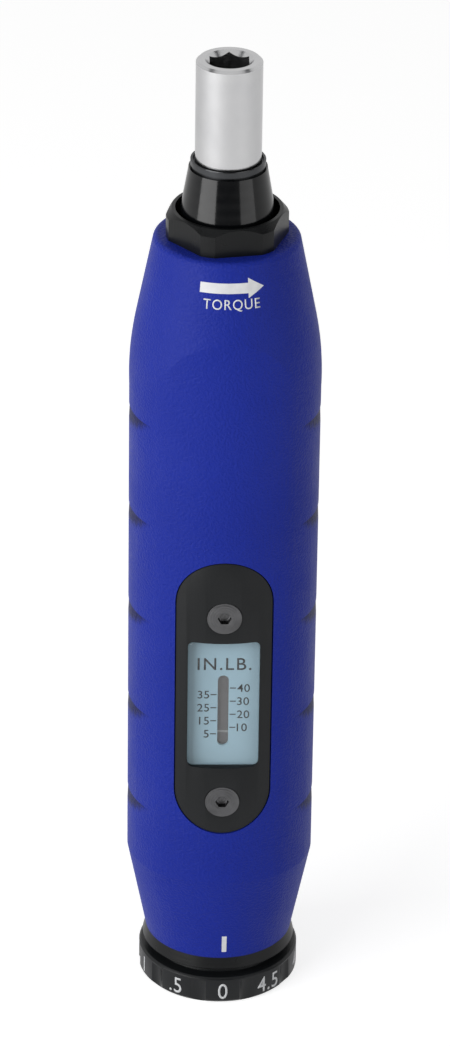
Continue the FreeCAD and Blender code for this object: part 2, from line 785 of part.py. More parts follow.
def make_knob():
    body = new_body("adjusting_knob")
    edge = s.knob_edge
    bevel = s.knob_bevel
    web_top = s.knob_recess_depth + s.knob_web
    hole = s.knob_screw_radius + s.thread_fit * 2
    shaft = s.screw_spigot_radius + s.press_fit
    corners = [
        (hole, s.knob_recess_depth), (s.knob_recess_radius, s.knob_recess_depth),
        (s.knob_recess_radius, 0), (s.knob_radius - edge, 0), (s.knob_radius, edge),
        (s.knob_radius, s.knob_height - bevel), (s.knob_radius - bevel, s.knob_height),
        (s.knob_hub_radius, s.knob_height), (s.knob_hub_radius, hub_top),
        (shaft, hub_top), (shaft, web_top), (hole, web_top),
    ]
    revolve(body, "knob_turning", outline(body, "knob_section", "XZ_Plane", corners))

    # one flute between two lands, then all of them
    step = math.pi / s.click_count.value
    centre = s.knob_radius + s.flute_radius - s.flute_depth
    flute_x = centre * math.cos(step)
    flute_y = centre * math.sin(step)
    cutter = circles(body, "flute_outline", "XY_Plane", [(flute_x, flute_y, s.flute_radius)])
    flute = pocket(body, "flute", cutter, s.knob_height - s.flute_top, reverse=True)
    round_pattern(body, "flutes", flute, s.click_count)

    well = circles(body, "click_outline", "XY_Plane",
                   [(0, s.click_circle, s.click_radius + s.press_fit)],
                   hub_top)
    pocket(body, "click_well", well, s.click_length + s.press_fit)
    return body


def make_knob_screw():
    head_bottom = s.knob_recess_depth - s.knob_screw_head_height
    tip = s.knob_recess_depth + s.knob_screw_length
    body = turned("knob_screw", [
        (0, head_bottom), (s.knob_screw_head_radius, head_bottom),
        (s.knob_screw_head_radius, s.knob_recess_depth), (s.knob_screw_radius, s.knob_recess_depth),
        (s.knob_screw_radius, tip), (0, tip),
    ])
    drive = outline(body, "knob_drive_outline", "XY_Plane", hexagon(s.screw_hex, 0), head_bottom)
    pocket(body, "knob_drive", drive, s.screw_hex_depth, reverse=True)
    return body


def make_click_plunger():
    """Bought-in spring plunger: a threaded barrel with a domed nose."""
    bottom = hub_top - s.click_length
    nose = s.click_nose_radius
    shelf = hub_top - s.thread_fit
    tip = collar_bottom - s.running_fit
    body = new_body("click_plunger")
    disc = circles(body, "barrel_outline", "XY_Plane", [(0, s.click_circle, s.click_radius)], bottom)
    pad(body, "barrel", disc, shelf - bottom)
    stub = circles(body, "nose_outline", "XY_Plane", [(0, s.click_circle, nose)], shelf)
    pad(body, "nose", stub, tip - shelf)
    return body


def make_rear_collar():
    spigot = s.bore_radius - s.thread_fit
    spigot_top = handle_bottom + s.collar_spigot_length
    shaft = s.screw_journal_radius + s.running_fit
    edge = s.collar_edge
    body = turned("rear_collar", [
        (shaft, collar_bottom), (s.collar_radius - edge, collar_bottom),
        (s.collar_radius, collar_bottom + edge),
        (s.handle_base_radius, handle_bottom), (spigot, handle_bottom),
        (spigot, spigot_top), (shaft, spigot_top),
    ])
    dimple = circles(body, "dimple_outline", "XY_Plane",
                     [(0, s.click_circle, s.click_dimple_radius + s.thread_fit * 4)], collar_bottom)
    cut = pocket(body, "dimple", dimple, s.click_dimple_depth, reverse=True)
    round_pattern(body, "dimples", cut, s.click_count)
    return body


def thrust_seat():
    """Top of the rear collar's spigot, which takes the lead screw's thrust."""
    return handle_bottom + s.collar_spigot_length


def make_thrust_washer():
    seat = thrust_seat()
    inner = s.screw_journal_radius + s.running_fit * 3
    outer = s.screw_flange_radius + s.running_fit * 10
    top = seat + s.washer_thick
    return turned("thrust_washer", [(inner, seat), (outer, seat), (outer, top), (inner, top)])


def make_lead_screw():
    flange = thrust_seat() + s.washer_thick + s.running_fit
    flange_top = flange + s.screw_flange_height
    shoulder_low = hub_top
    spigot_low = s.knob_recess_depth + s.knob_web
    top = flange_top + s.lead_screw_length
    tap = s.knob_screw_radius + s.press_fit
    tap_top = s.knob_recess_depth + s.knob_screw_length + 1
    journal = s.screw_journal_radius
    lead_in = journal - 1
    return turned("lead_screw", [
        (tap, spigot_low), (s.screw_spigot_radius, spigot_low), (s.screw_spigot_radius, shoulder_low),
        (journal, shoulder_low), (journal, flange), (s.screw_flange_radius, flange),
        (s.screw_flange_radius, flange_top), (journal, flange_top), (journal, top - 1),
        (lead_in, top), (0, top), (0, tap_top), (tap, tap_top),
    ])


# ---------------------------------------------------------------- spring and clutch

def make_spring_nut():
    bottom = s.spring_nut_level
    top = bottom + s.spring_nut_height
    outer = s.bore_radius - s.nut_clearance
    inner = s.screw_journal_radius + s.running_fit
    boss = top + s.spring_boss_height
    body = turned("spring_nut", [
        (inner, bottom), (outer, bottom), (outer, top), (s.spring_boss_radius, top),
        (s.spring_boss_radius, boss), (inner, boss),
    ])
    # flat-bottomed slot in the front that holds the indicator strip
    strip_back = strip_front() - s.strip_thick
    width = s.strip_width + s.press_fit * 2
    half = width / 2
    corners = [(-half, -outer - 1), (half, -outer - 1), (half, -strip_back), (-half, -strip_back)]
    seat = outline(body, "strip_seat_outline", "XY_Plane", corners, bottom)
    pocket(body, "strip_seat", seat, s.spring_nut_height, reverse=True)
    return body


def strip_front():
    """How far in front of the axis the indicator strip's face lies."""
    return s.floor_depth - s.strip_gap


def make_indicator():
    body = new_body("indicator_strip")
    face = rectangle(body, "strip_outline", "XZ_Plane", s.strip_width, s.strip_length,
                     s.strip_level, strip_front() - s.strip_thick)
    pad(body, "strip", face, s.strip_thick)
    mark = rectangle(body, "mark_outline", "XZ_Plane", s.strip_width, s.strip_line_height,
                     s.strip_line_level, strip_front())
    pocket(body, "mark", mark, s.strip_line_depth)
    return body


def make_main_spring():
    body = new_body("main_spring")
    low = spring_bottom + s.spring_wire / 2
    wire = circles(body, "wire_outline", "XZ_Plane", [(s.spring_radius, low, s.spring_wire / 2)])
    height = spring_top - spring_bottom - s.spring_wire
    coil = body.newObject("PartDesign::AdditiveHelix", "coil")
    coil.Profile = wire
    coil.ReferenceAxis = (wire, ["V_Axis"])
    coil.Mode = "height-turns-angle"
    coil.Height = height.value
    coil.setExpression("Height", height.formula)
    coil.Turns = s.spring_turns.value
    coil.setExpression("Turns", s.spring_turns.formula)
    coil.Angle = 0
    return body


def make_clutch_plunger():
    bottom = spring_top
    top = plunger_top
    outer = s.bore_radius - s.nut_clearance
    well = s.plunger_well_radius
    well_top = bottom + s.plunger_well_depth
    body = turned("clutch_plunger", [
        (0, well_top), (well, well_top), (well, bottom), (outer, bottom), (outer, top), (0, top),
    ])
    # keyways that run on the handle's splines
    half = s.spline_width / 2 + s.nut_clearance
    root = s.bore_radius - s.spline_height - s.nut_clearance
    for side, name in ((1, "right"), (-1, "left")):
        edge = (outer + 1) * side
        corners = [(root * side, -half), (edge, -half), (edge, half), (root * side, half)]
        sketch = outline(body, f"{name}_keyway_outline", "XY_Plane", corners, bottom)
        pocket(body, f"{name}_keyway", sketch, s.plunger_height, reverse=True)
    cup = ball_cup(body, "ball_cup", s.ball_radius + s.ball_fit, ball_centre, top)
    round_pattern(body, "ball_cups", cup, s.ball_count)
    return body


def ball_cup(body, name, radius, centre, mouth):
    """Groove a spherical seat about a vertical line on the ball circle."""
    sketch = new_sketch(body, f"{name}_section", "XZ_Plane")
    depth = (mouth - centre).value
    reach = math.sqrt(radius.value ** 2 - depth ** 2)
    low = centre - radius
    start, end = -math.pi / 2, math.atan2(depth, reach)
    circle = s.ball_circle
    sketch.addGeometry(arc((circle, centre), radius.value, start, end), False)
    rim = vector(circle.value + reach, mouth)
    sketch.addGeometry(Part.LineSegment(rim, vector(circle, mouth)), False)
    sketch.addGeometry(Part.LineSegment(vector(circle, mouth), vector(circle, low)), False)
    for index in range(3):
        sketch.addConstraint(Sketcher.Constraint("Coincident", index, 2, (index + 1) % 3, 1))
    place_point(sketch, 0, 3, circle, centre)
    bind(sketch, "Radius", (0,), radius)
    place_point(sketch, 1, 2, circle, mouth)
    sketch.addConstraint(Sketcher.Constraint("Vertical", 2))
    sketch.addConstraint(Sketcher.Constraint("Horizontal", 1))
    axis = sketch.addGeometry(Part.LineSegment(vector(circle, mouth), vector(circle, low)), True)
    sketch.addConstraint(Sketcher.Constraint("Coincident", axis, 1, 2, 1))
    sketch.addConstraint(Sketcher.Constraint("Coincident", axis, 2, 2, 2))
    return groove(body, name, sketch, "Axis0")


def make_clutch_balls():
    balls = []
    for index in range(int(s.ball_count.value)):
        angle = 2 * math.pi * index / s.ball_count.value
        ball = doc.addObject("Part::Sphere", f"clutch_ball_{index + 1}")
        ball.setExpression("Radius", s.ball_radius.formula)
        place = {"x": s.ball_circle * math.cos(angle), "y": s.ball_circle * math.sin(angle),
                 "z": ball_centre}
        for axis, size in place.items():
            ball.setExpression(f"Placement.Base.{axis}", size.formula)
        balls.append(ball)
    group = doc.addObject("Part::Compound", "clutch_balls")
    group.Links = balls
    return group


def make_output_shaft():
    face = cam_face
    flange_top = cam_top
    cone_bottom = nut_top - s.nut_height + s.nut_floor + s.cone_gap
    shaft_end = cone_bottom + s.cone_shaft_grip
    tip_end = shaft_end + s.shaft_tip_length
    body = turned("output_shaft", [
        (0, face), (s.cam_flange_radius, face), (s.cam_flange_radius, flange_top),
        (s.journal_radius, flange_top), (s.journal_radius, shaft_end),
        (s.shaft_tip_radius, shaft_end), (s.shaft_tip_radius, tip_end), (0, tip_end),
    ])
    outline_ = circles(body, "cam_pocket_outline", "XY_Plane",
                       [(s.ball_circle, 0, s.ball_radius * 0.8)], face)
    cup = pocket(body, "cam_pocket", outline_, s.cam_pocket_depth, reverse=True)
    round_pattern(body, "cam_pockets", cup, s.ball_count)
    return body


def make_thrust_race():
    top = shoulder
    bottom = top - s.race_thick
    inner = s.journal_radius + s.nut_clearance
    outer = s.cam_flange_radius
    return turned("thrust_race", [(inner, bottom), (outer, bottom), (outer, top), (inner, top)])


def make_thrust_cage():
    """Needle thrust bearing between the cam flange and the race."""
    top = shoulder - s.race_thick
    bottom = top - s.cage_height
    inner = s.journal_radius + s.nut_clearance
    outer = s.cam_flange_radius
    return turned("thrust_bearing", [(inner, bottom), (outer, bottom), (outer, top), (inner, top)])


# ---------------------------------------------------------------- nose

def make_nose_nut():
    floor = handle_top + s.nut_floor
    spigot = s.nose_bore_radius - s.thread_fit
    bush = s.journal_radius + s.running_fit + s.bush_wall + s.press_fit
    low = handle_top - s.nut_spigot_length
    bevel = nut_top - s.nut_bevel_drop
    body = turned("nose_nut", [
        (bush, low), (spigot, low), (spigot, handle_top), (s.nut_corner_radius, handle_top),
        (s.nut_corner_radius, bevel), (s.nut_face_radius, nut_top), (s.nut_bore_radius, nut_top),
        (s.nut_bore_radius, floor), (bush, floor),
    ])
    # six flats: everything outside the hexagon is milled off the head
    sketch = new_sketch(body, "flats_outline", "XY_Plane", handle_top)
    inner = hexagon(s.nut_across_flats, s.nut_turn.value)
    outer = hexagon(s.nut_across_flats * 1.3, s.nut_turn.value)
    for ring_index, ring in enumerate((inner, outer)):
        first = ring_index * 6
        for index, corner in enumerate(ring):
            following = ring[(index + 1) % 6]
            sketch.addGeometry(Part.LineSegment(vector(*corner), vector(*following)), False)
        for index, corner in enumerate(ring):
            previous = first + (index - 1) % 6
            sketch.addConstraint(Sketcher.Constraint("Coincident", previous, 2, first + index, 1))
            place_point(sketch, first + index, 1, *corner)
    pocket(body, "flats", sketch, s.nut_height, reverse=True)
    return body


def make_front_bush():
    inner = s.journal_radius + s.running_fit
    outer = inner + s.bush_wall
    top = handle_top + s.nut_floor
    bottom = top - s.bush_length
    return turned("front_bush", [(inner, bottom), (outer, bottom), (outer, top), (inner, top)])


def make_nose_cone():
    bottom = handle_top + s.nut_floor + s.cone_gap
    seat = bottom + s.cone_shaft_grip
    shaft = s.journal_radius + s.press_fit
    holder = s.holder_radius + s.press_fit
    return turned("nose_cone", [
        (shaft, bottom), (s.cone_foot_radius, bottom), (s.cone_top_radius, cone_top),
        (holder, cone_top), (holder, seat), (shaft, seat),
    ])


def make_holder_ring():
    inner = s.holder_radius + s.running_fit
    lip = ring_top - s.ring_seat_depth
    return turned("holder_ring", [
        (inner, cone_top), (s.ring_neck_radius, cone_top), (s.ring_neck_radius, ring_bottom),
        (s.ring_radius, ring_bottom), (s.ring_radius, ring_top), (s.ring_seat_radius, ring_top),
        (s.ring_seat_radius, lip), (inner, lip),
    ])


def make_bit_holder():
    bottom = handle_top + s.nut_floor + s.cone_gap + s.cone_shaft_grip
    floor = holder_top - s.socket_depth
    magnet_floor = floor - s.magnet_length
    tip = s.shaft_tip_radius + s.press_fit
    tip_end = bottom + s.shaft_tip_length + s.press_fit
    magnet = s.magnet_radius + s.press_fit
    edge = s.holder_edge
    body = turned("bit_holder", [
        (tip, bottom), (s.holder_radius, bottom), (s.holder_radius, holder_top - edge),
        (s.holder_radius - edge, holder_top), (magnet, holder_top), (magnet, magnet_floor),
        (0, magnet_floor), (0, tip_end), (tip, tip_end),
    ])
    key = outline(body, "socket_outline", "XY_Plane", hexagon(s.socket_across_flats, s.socket_turn.value), holder_top)
    pocket(body, "socket", key, s.socket_depth)
    mouth = s.socket_mouth_radius
    inner = s.socket_across_flats / 2
    lead = [(0, holder_top), (mouth, holder_top), (inner, holder_top - (mouth - inner)),
            (0, holder_top - (mouth - inner))]
    groove(body, "mouth", outline(body, "mouth_section", "XZ_Plane", lead))
    return body


def make_magnet():
    top = holder_top - s.socket_depth
    bottom = top - s.magnet_length + s.press_fit
    return turned("bit_magnet", [(0, bottom), (s.magnet_radius, bottom), (s.magnet_radius, top),
                                 (0, top)])


# ---------------------------------------------------------------- assembly

pieces = [
    make_handle(), make_scale_plate(), make_lens(), make_bezel(), make_bezel_screws(),
    make_knob(), make_knob_screw(), make_click_plunger(), make_rear_collar(),
    make_thrust_washer(), make_lead_screw(), make_spring_nut(), make_indicator(),
    make_main_spring(), make_clutch_plunger(), make_clutch_balls(), make_output_shaft(),
    make_thrust_race(), make_thrust_cage(), make_nose_nut(), make_front_bush(),
    make_nose_cone(), make_holder_ring(), make_bit_holder(), make_magnet(),
]
doc.recompute()

for item in doc.Objects:
    if "Invalid" in item.State or "Error" in item.State:
        raise RuntimeError(f"{item.Label} did not build: {item.State}")
os.makedirs("parts", exist_ok=True)
for piece in pieces:
    shape = piece.Shape
    if shape.isNull() or not shape.isValid():
        raise RuntimeError(f"{piece.Label} has no sound shape")
    shape.exportStep(os.path.join("parts", f"{piece.Label}.step"))
    print(f"{piece.Label}: {len(shape.Solids)} solid, {shape.Volume:.1f} mm3")
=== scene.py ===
# %% [markdown]
# An adjustable torque screwdriver, dressed around its finished solids.
# The solids give every shape that matters, so most of the work here is finish: the grain of the
# moulded grip, the printed figures, the clear window, black satin and gloss parts and the plated
# bit holder. Everything is in metres, in the solids' own frame: +Z runs up the tool and the window
# faces -Y.

# %% Load the solids
import math

import bpy
from mathutils import Matrix, Vector
from mathutils.bvhtree import BVHTree


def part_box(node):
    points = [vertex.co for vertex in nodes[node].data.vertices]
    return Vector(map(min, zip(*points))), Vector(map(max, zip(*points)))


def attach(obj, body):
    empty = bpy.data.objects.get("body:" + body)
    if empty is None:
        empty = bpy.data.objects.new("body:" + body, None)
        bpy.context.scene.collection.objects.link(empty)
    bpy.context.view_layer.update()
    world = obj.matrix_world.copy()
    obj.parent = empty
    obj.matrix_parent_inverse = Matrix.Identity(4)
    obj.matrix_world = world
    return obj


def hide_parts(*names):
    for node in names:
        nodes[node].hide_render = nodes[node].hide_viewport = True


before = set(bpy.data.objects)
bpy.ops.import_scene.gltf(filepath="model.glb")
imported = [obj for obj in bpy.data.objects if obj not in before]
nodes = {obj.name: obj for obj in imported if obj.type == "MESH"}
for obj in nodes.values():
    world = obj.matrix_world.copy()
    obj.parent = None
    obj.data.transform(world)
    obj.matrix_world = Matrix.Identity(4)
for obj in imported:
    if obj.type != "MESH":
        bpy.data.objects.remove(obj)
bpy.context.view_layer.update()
MM = 0.001

# %% [markdown]
# The camera looks down at the front of the tool from well away, as a long lens would in a studio.
# It aims at a point on the tool's axis a little above half height. A long lens keeps the sides
# almost parallel, and a small roll leans the tool's top to the right.

# %% Camera
VIEW_AZIMUTH = math.radians(-1.75)
VIEW_ELEVATION = math.radians(28.0)
VIEW_ROLL = math.radians(0.79)
VIEW_DISTANCE = 0.8756
AIM = Vector((0, 0, 0.0873))
SIDE_SHIFT = 0.00028
LENS = 178.97
SENSOR = 36.0


def aim_camera():
    """A camera placed by its own right, up and backward directions."""
    back = Vector((math.sin(VIEW_AZIMUTH) * math.cos(VIEW_ELEVATION),
                   -math.cos(VIEW_AZIMUTH) * math.cos(VIEW_ELEVATION),
                   math.sin(VIEW_ELEVATION)))
    right = Vector((0, 0, 1)).cross(back).normalized()
    up = back.cross(right)
    place = AIM + back * VIEW_DISTANCE + right * SIDE_SHIFT
    right_rolled = right * math.cos(VIEW_ROLL) + up * math.sin(VIEW_ROLL)
    up_rolled = up * math.cos(VIEW_ROLL) - right * math.sin(VIEW_ROLL)
    bpy.ops.object.camera_add()
    camera = bpy.context.object
    camera.name = "camera"
    axes = Matrix((right_rolled, up_rolled, back)).transposed().to_4x4()
    camera.matrix_world = Matrix.Translation(place) @ axes
    camera.data.sensor_fit = "VERTICAL"
    camera.data.sensor_height = SENSOR
    camera.data.lens = LENS
    camera.data.clip_start = 0.05
    bpy.context.scene.camera = camera
    return camera


camera = aim_camera()
print("camera at", tuple(round(value, 4) for value in camera.location))

# %% [markdown]
# The studio is a pale floor, a wide soft light from the left, a weaker one from the right and an
# even sky. The floor and the sky glow white where the camera, a mirror or glass sees them, and light
# the tool no more for it. Black plastic only looks black when much of what it mirrors is dark, so a
# dark curtain that only reflections can see stands round the front half.

# %% Floor, sky, lights and curtain
scene = bpy.context.scene
scene.view_settings.view_transform = "Standard"
FLOOR_GREY = 0.62
FLOOR_GLOW = 0.74
MIRROR_GLOW = 0.5
SKY_LIGHT = 0.3
CURTAIN_GREY = (0.07, 0.07, 0.075, 1)


def link(tree, source, target):
    tree.links.new(source, target)


def blank_material(name):
    """A material with nothing in it but its output."""
    material = bpy.data.materials.new(name)
    material.use_nodes = True
    material.node_tree.nodes.clear()
    output = material.node_tree.nodes.new("ShaderNodeOutputMaterial")
    return material, material.node_tree, output


def math_node(tree, operation, first, second=None, third=None):
    """A Math node's output; each input is a socket or a number."""
    node = tree.nodes.new("ShaderNodeMath")
    node.operation = operation
    for slot, value in enumerate((first, second, third)):
        if isinstance(value, (int, float)):
            node.inputs[slot].default_value = value
        elif value is not None:
            link(tree, value, node.inputs[slot])
    return node.outputs[0]


def direct_rays(tree, path):
    """1 where a surface is seen by the camera, in a mirror or through glass, else 0."""
    mirrored = math_node(tree, "MAXIMUM", path.outputs["Is Camera Ray"], path.outputs["Is Glossy Ray"])
    return math_node(tree, "MAXIMUM", mirrored, path.outputs["Is Transmission Ray"])


def make_floor():
    bpy.ops.object.select_all(action="DESELECT")
    bpy.ops.mesh.primitive_plane_add(size=6)
    floor = bpy.context.object
    floor.name = "floor"
    material, tree, output = blank_material("pale_floor")
    add = tree.nodes.new("ShaderNodeAddShader")
    matt = tree.nodes.new("ShaderNodeBsdfDiffuse")
    matt.inputs["Color"].default_value = (FLOOR_GREY, FLOOR_GREY, FLOOR_GREY, 1)
    glow = tree.nodes.new("ShaderNodeEmission")
    # the glow is a little weaker in mirrors, so that black parts stay black
    path = tree.nodes.new("ShaderNodeLightPath")
    level = math_node(tree, "MULTIPLY", direct_rays(tree, path), FLOOR_GLOW)
    held_back = math_node(tree, "MULTIPLY", path.outputs["Is Glossy Ray"], FLOOR_GLOW - MIRROR_GLOW)
    link(tree, math_node(tree, "SUBTRACT", level, held_back), glow.inputs["Strength"])
    link(tree, matt.outputs[0], add.inputs[0])
    link(tree, glow.outputs[0], add.inputs[1])
    link(tree, add.outputs[0], output.inputs["Surface"])
    floor.data.materials.append(material)


def make_sky():
    """Even grey light, with a white background for what is seen directly or mirrored."""
    world = bpy.data.worlds.new("studio")
    scene.world = world
    world.use_nodes = True
    tree = world.node_tree
    tree.nodes.clear()
    output = tree.nodes.new("ShaderNodeOutputWorld")
    background = tree.nodes.new("ShaderNodeBackground")
    span = tree.nodes.new("ShaderNodeMapRange")
    span.inputs["To Min"].default_value = SKY_LIGHT
    span.inputs["To Max"].default_value = 1.0
    path = tree.nodes.new("ShaderNodeLightPath")
    link(tree, direct_rays(tree, path), span.inputs["Value"])
    link(tree, span.outputs[0], background.inputs["Strength"])
    link(tree, background.outputs[0], output.inputs["Surface"])


def softbox(name, azimuth, elevation, distance, width, height, power):
    """A rectangular light that faces the tool's middle; azimuth 0 is the front, and 90 the right."""
    azimuth = math.radians(azimuth)
    elevation = math.radians(elevation)
    away = Vector((math.sin(azimuth) * math.cos(elevation),
                   -math.cos(azimuth) * math.cos(elevation),
                   math.sin(elevation)))
    bpy.ops.object.light_add(type="AREA")
    lamp = bpy.context.object
    lamp.name = name
    lamp.data.shape = "RECTANGLE"
    lamp.data.size = width
    lamp.data.size_y = height
    lamp.data.energy = power
    lamp.location = AIM + away * distance
    lamp.rotation_euler = away.to_track_quat("Z", "Y").to_euler()


def make_curtain():
    """A dark half round wall in front of the tool, seen by mirror rays only."""
    bpy.ops.object.select_all(action="DESELECT")
    bpy.ops.mesh.primitive_cylinder_add(vertices=48, radius=1.4, depth=2.4,
                                        end_fill_type="NOTHING", location=(0, 0, 0.9))
    curtain = bpy.context.object
    curtain.name = "dark_curtain"
    bpy.ops.object.mode_set(mode="EDIT")
    bpy.ops.mesh.select_all(action="SELECT")
    bpy.ops.mesh.bisect(plane_co=(0, 0.1, 0), plane_no=(0, 1, 0), clear_outer=True)
    bpy.ops.object.mode_set(mode="OBJECT")
    material, tree, output = blank_material("dark_cloth")
    grey = tree.nodes.new("ShaderNodeEmission")
    grey.inputs["Color"].default_value = CURTAIN_GREY
    link(tree, grey.outputs[0], output.inputs["Surface"])
    curtain.data.materials.append(material)
    for kind in ("camera", "diffuse", "transmission", "volume_scatter", "shadow"):
        setattr(curtain, f"visible_{kind}", False)


make_floor()
make_sky()
make_curtain()
softbox("left_softbox", -55, 14, 0.78, 0.7, 0.7, 6.4)
softbox("right_softbox", 50, 14, 0.8, 0.6, 0.7, 1.8)
print("stage is set")

# %% [markdown]
# Four shader groups hold the effects that several finishes share: a fine pebble grain, a soft cloudy
# mottle, the turned rings that a lathe leaves round an axis, and straight brushing along the axis.
# Each puts out a height or a mask, and each material uses it with its own values.

# %% Shared shader groups


def new_group(name, inputs, outputs):
    """An empty shader group with float sockets."""
    group = bpy.data.node_groups.new(name, "ShaderNodeTree")
    for label, value in inputs:
        socket = group.interface.new_socket(name=label, in_out="INPUT",
                                            socket_type="NodeSocketFloat")
        socket.default_value = value
    for label in outputs:
        group.interface.new_socket(name=label, in_out="OUTPUT", socket_type="NodeSocketFloat")
    inlet = group.nodes.new("NodeGroupInput")
    outlet = group.nodes.new("NodeGroupOutput")
    return group, inlet, outlet


def noise(tree, detail, roughness=0.5):
    node = tree.nodes.new("ShaderNodeTexNoise")
    node.inputs["Detail"].default_value = detail
    node.inputs["Roughness"].default_value = roughness
    return node


def ramp(tree, low, high):
    """A smooth step from 0 at low to 1 at high."""
    node = tree.nodes.new("ShaderNodeMapRange")
    node.interpolation_type = "SMOOTHSTEP"
    node.inputs["From Min"].default_value = low
    node.inputs["From Max"].default_value = high
    return node


def grain_group():
    """Rounded pebbles of a spark-eroded mould: a height from 0 to 1 and a mask of their hollows."""
    group, inlet, outlet = new_group("mould_grain", [("Scale", 900.0)], ["Height", "Hollows"])
    place = group.nodes.new("ShaderNodeTexCoord")
    cells = noise(group, 2.0, 0.55)
    link(group, place.outputs["Object"], cells.inputs["Vector"])
    link(group, inlet.outputs["Scale"], cells.inputs["Scale"])
    shape = ramp(group, 0.36, 0.64)
    link(group, cells.outputs["Fac"], shape.inputs["Value"])
    hollows = ramp(group, 0.46, 0.34)
    link(group, cells.outputs["Fac"], hollows.inputs["Value"])
    link(group, shape.outputs["Result"], outlet.inputs["Height"])
    link(group, hollows.outputs["Result"], outlet.inputs["Hollows"])
    return group


def mottle_group():
    """Large soft clouds, such as handling leaves on a plastic."""
    inputs = [("Scale", 60.0), ("Low", 0.0), ("High", 1.0)]
    group, inlet, outlet = new_group("soft_mottle", inputs, ["Value"])
    place = group.nodes.new("ShaderNodeTexCoord")
    cloud = noise(group, 4.0)
    link(group, place.outputs["Object"], cloud.inputs["Vector"])
    link(group, inlet.outputs["Scale"], cloud.inputs["Scale"])
    spread = group.nodes.new("ShaderNodeMapRange")
    spread.inputs["From Min"].default_value = 0.3
    spread.inputs["From Max"].default_value = 0.7
    link(group, cloud.outputs["Fac"], spread.inputs["Value"])
    link(group, inlet.outputs["Low"], spread.inputs["To Min"])
    link(group, inlet.outputs["High"], spread.inputs["To Max"])
    link(group, spread.outputs["Result"], outlet.inputs["Value"])
    return group


def rings_group(name, axis):
    """Fine turned rings round an axis of the piece: +Z, or +Y for a screw that faces forward."""
    inputs = [("Rings per mm", 6.0), ("Middle", 0.0), ("Half", 0.0)]
    group, inlet, outlet = new_group(name, inputs, ["Height"])
    place = group.nodes.new("ShaderNodeTexCoord")
    split = group.nodes.new("ShaderNodeSeparateXYZ")
    link(group, place.outputs["Object"], split.inputs[0])
    second = split.outputs["Y"]
    if axis == "Y":
        # how far above or below the nearer of two screws, which stand Half from Middle
        second = split.outputs["Z"]
        for operation, label in (("SUBTRACT", "Middle"), ("ABSOLUTE", None), ("SUBTRACT", "Half")):
            other = inlet.outputs[label] if label else None
            second = math_node(group, operation, second, other)
    flat = group.nodes.new("ShaderNodeCombineXYZ")
    link(group, split.outputs["X"], flat.inputs["X"])
    link(group, second, flat.inputs["Y"])
    reach = group.nodes.new("ShaderNodeVectorMath")
    reach.operation = "LENGTH"
    link(group, flat.outputs[0], reach.inputs[0])
    per_metre = math_node(group, "MULTIPLY", inlet.outputs["Rings per mm"], 1 / MM * 2 * math.pi)
    turns = math_node(group, "MULTIPLY", reach.outputs["Value"], per_metre)
    link(group, math_node(group, "SINE", turns), outlet.inputs["Height"])
    return group


def brushing_group():
    """Long streaks along +Z, such as polishing leaves on a plated sleeve."""
    group, inlet, outlet = new_group("axial_brushing", [("Scale", 1500.0)], ["Height"])
    place = group.nodes.new("ShaderNodeTexCoord")
    stretch = group.nodes.new("ShaderNodeMapping")
    stretch.inputs["Scale"].default_value = (1, 1, 0.02)
    streaks = noise(group, 3.0, 0.6)
    link(group, place.outputs["Object"], stretch.inputs["Vector"])
    link(group, stretch.outputs[0], streaks.inputs["Vector"])
    link(group, inlet.outputs["Scale"], streaks.inputs["Scale"])
    link(group, streaks.outputs["Fac"], outlet.inputs["Height"])
    return group


GRAIN = grain_group()
MOTTLE = mottle_group()
LATHE = rings_group("lathe_rings", "Z")
FACING = rings_group("facing_rings", "Y")
BRUSHING = brushing_group()
print("shader groups:", len(bpy.data.node_groups))

# %% [markdown]
# A finish is one Principled shader. Its base colour drifts a little between two tones with the mottle,
# its roughness drifts too, and a Bump node turns a group's height into relief of a real depth.

# %% The finish maker
DULLING_SCALE = 2.7


def use_group(tree, group, **values):
    node = tree.nodes.new("ShaderNodeGroup")
    node.node_tree = group
    for label, value in values.items():
        node.inputs[label.replace("_", " ")].default_value = value
    return node


def finish(name, tone, tone_two, rough=(0.4, 0.5), cloud=60.0, relief=None, depth=0.0,
           **settings):
    """A procedural finish: two tones and two roughness values in soft clouds, and a relief group."""
    material, tree, output = blank_material(name)
    shader = tree.nodes.new("ShaderNodeBsdfPrincipled")
    link(tree, shader.outputs[0], output.inputs["Surface"])
    mottle = use_group(tree, MOTTLE, Scale=cloud)
    blend = tree.nodes.new("ShaderNodeMix")
    blend.data_type = "RGBA"
    blend.inputs["A"].default_value = (*tone, 1)
    blend.inputs["B"].default_value = (*tone_two, 1)
    link(tree, mottle.outputs["Value"], blend.inputs["Factor"])
    link(tree, blend.outputs["Result"], shader.inputs["Base Color"])
    dulling = use_group(tree, MOTTLE, Scale=cloud * DULLING_SCALE, Low=rough[0], High=rough[1])
    link(tree, dulling.outputs["Value"], shader.inputs["Roughness"])
    if relief:
        group, values = relief
        bump = tree.nodes.new("ShaderNodeBump")
        bump.inputs["Distance"].default_value = depth
        link(tree, use_group(tree, group, **values).outputs["Height"], bump.inputs["Height"])
        link(tree, bump.outputs[0], shader.inputs["Normal"])
    for label, value in settings.items():
        shader.inputs[label.replace("_", " ")].default_value = value
    return material


def dress(piece, material):
    """Give a piece, or a solid by its name, one material."""
    target = nodes[piece] if isinstance(piece, str) else piece
    target.data.materials.clear()
    target.data.materials.append(material)
